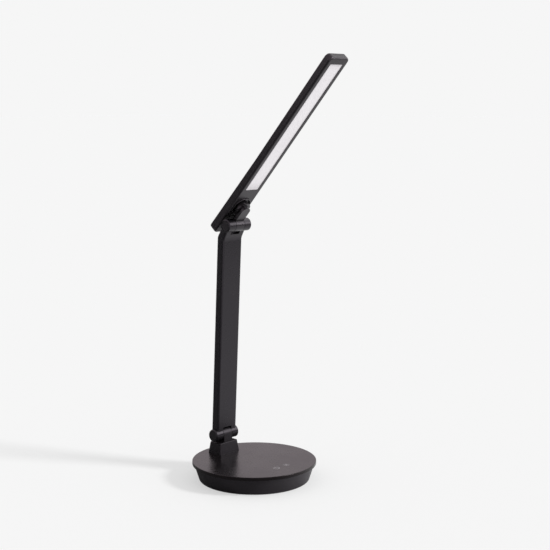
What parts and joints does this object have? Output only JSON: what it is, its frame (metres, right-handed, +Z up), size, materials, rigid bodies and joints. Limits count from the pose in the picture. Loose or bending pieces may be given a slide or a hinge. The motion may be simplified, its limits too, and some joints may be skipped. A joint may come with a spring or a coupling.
{
  "type": "desk lamp",
  "caption": "Folding desk lamp: round weighted base, flat arm between friction hinges and a flat swivelling light bar with an opal panel underneath.",
  "frame": {"origin": "centre of the base's underside, on the table", "axes": "+Z up, -Y to the front where the head reaches out, +X along the hinge axes"},
  "size_m": [0.1504, 0.2064, 0.5058],
  "materials": {
    "base_cover_plastic": "fine satin black",
    "base_tray_plastic": "fine satin black",
    "foot_foam": "soft matte black",
    "pedestal_plastic": "fine satin black",
    "ballast_steel": "bare cut steel",
    "board_laminate": "green solder mask",
    "touch_foam": "dark conductive foam",
    "inlet_metal": "plain bright metal",
    "inlet_plastic": "moulded black",
    "arm_plastic": "fine satin black",
    "arm_cover_plastic": "fine satin black",
    "cap_plastic": "fine satin black",
    "hinge_steel": "bright zinc",
    "friction_washer": "natural nylon",
    "screw_steel": "black zinc",
    "bracket_plastic": "fine satin black",
    "collar_plastic": "fine satin black",
    "head_frame_plastic": "fine satin black",
    "head_shell_plastic": "fine satin black",
    "diffuser_opal": "opal white, fine matte",
    "led_board_white": "white solder mask",
    "led_resin": "yellow phosphor resin",
    "lead_sheath": "soft black sheath"
  },
  "bodies": {
    "base": {"base_cover": "base_cover_plastic", "base_tray": "base_tray_plastic", "base_screws": "screw_steel", "foot_pad": "foot_foam", "ballast_plate": "ballast_steel", "ballast_screws": "screw_steel", "control_board": "board_laminate", "control_board_screws": "screw_steel", "touch_pads": "touch_foam", "inlet_shell": "inlet_metal", "inlet_tongue": "inlet_plastic", "inlet_board": "board_laminate", "inlet_screws": "screw_steel", "supply_lead": "lead_sheath", "base_lead": "lead_sheath", "pedestal": "pedestal_plastic", "pedestal_screws": "screw_steel"},
    "arm": {"arm_shell": "arm_plastic", "arm_back_cover": "arm_cover_plastic", "arm_cover_screws": "screw_steel", "arm_lead": "lead_sheath", "lower_hinge_bolt": "hinge_steel", "lower_hinge_nut": "hinge_steel", "lower_hinge_washers": "friction_washer", "lower_hinge_caps": "cap_plastic", "upper_hinge_bolt": "hinge_steel", "upper_hinge_nut": "hinge_steel", "upper_hinge_washers": "friction_washer", "upper_hinge_caps": "cap_plastic"},
    "bracket": {"head_bracket": "bracket_plastic", "swivel_washer": "friction_washer", "swivel_retainer": "hinge_steel", "swivel_screws": "screw_steel", "bracket_lead": "lead_sheath"},
    "head": {"swivel_collar": "collar_plastic", "head_frame": "head_frame_plastic", "head_shell": "head_shell_plastic", "diffuser": "diffuser_opal", "led_board": "led_board_white", "leds": "led_resin", "head_lead": "lead_sheath"}
  },
  "joints": [
    {"name": "arm_fold", "type": "hinge", "parent": "base", "child": "arm", "pos_m": [0, 0.0523, 0.0469], "axis": [1, 0, 0], "range_deg": [-35, 60]},
    {"name": "head_tilt", "type": "hinge", "parent": "arm", "child": "bracket", "pos_m": [0, 0.02908, 0.30778], "axis": [-1, 0, 0], "range_deg": [-140, 14]},
    {"name": "head_swivel", "type": "hinge", "parent": "bracket", "child": "head", "pos_m": [0, 0.02152, 0.33032], "axis": [0, 0.742, 0.6704], "range_deg": [-90, 90]}
  ]
}
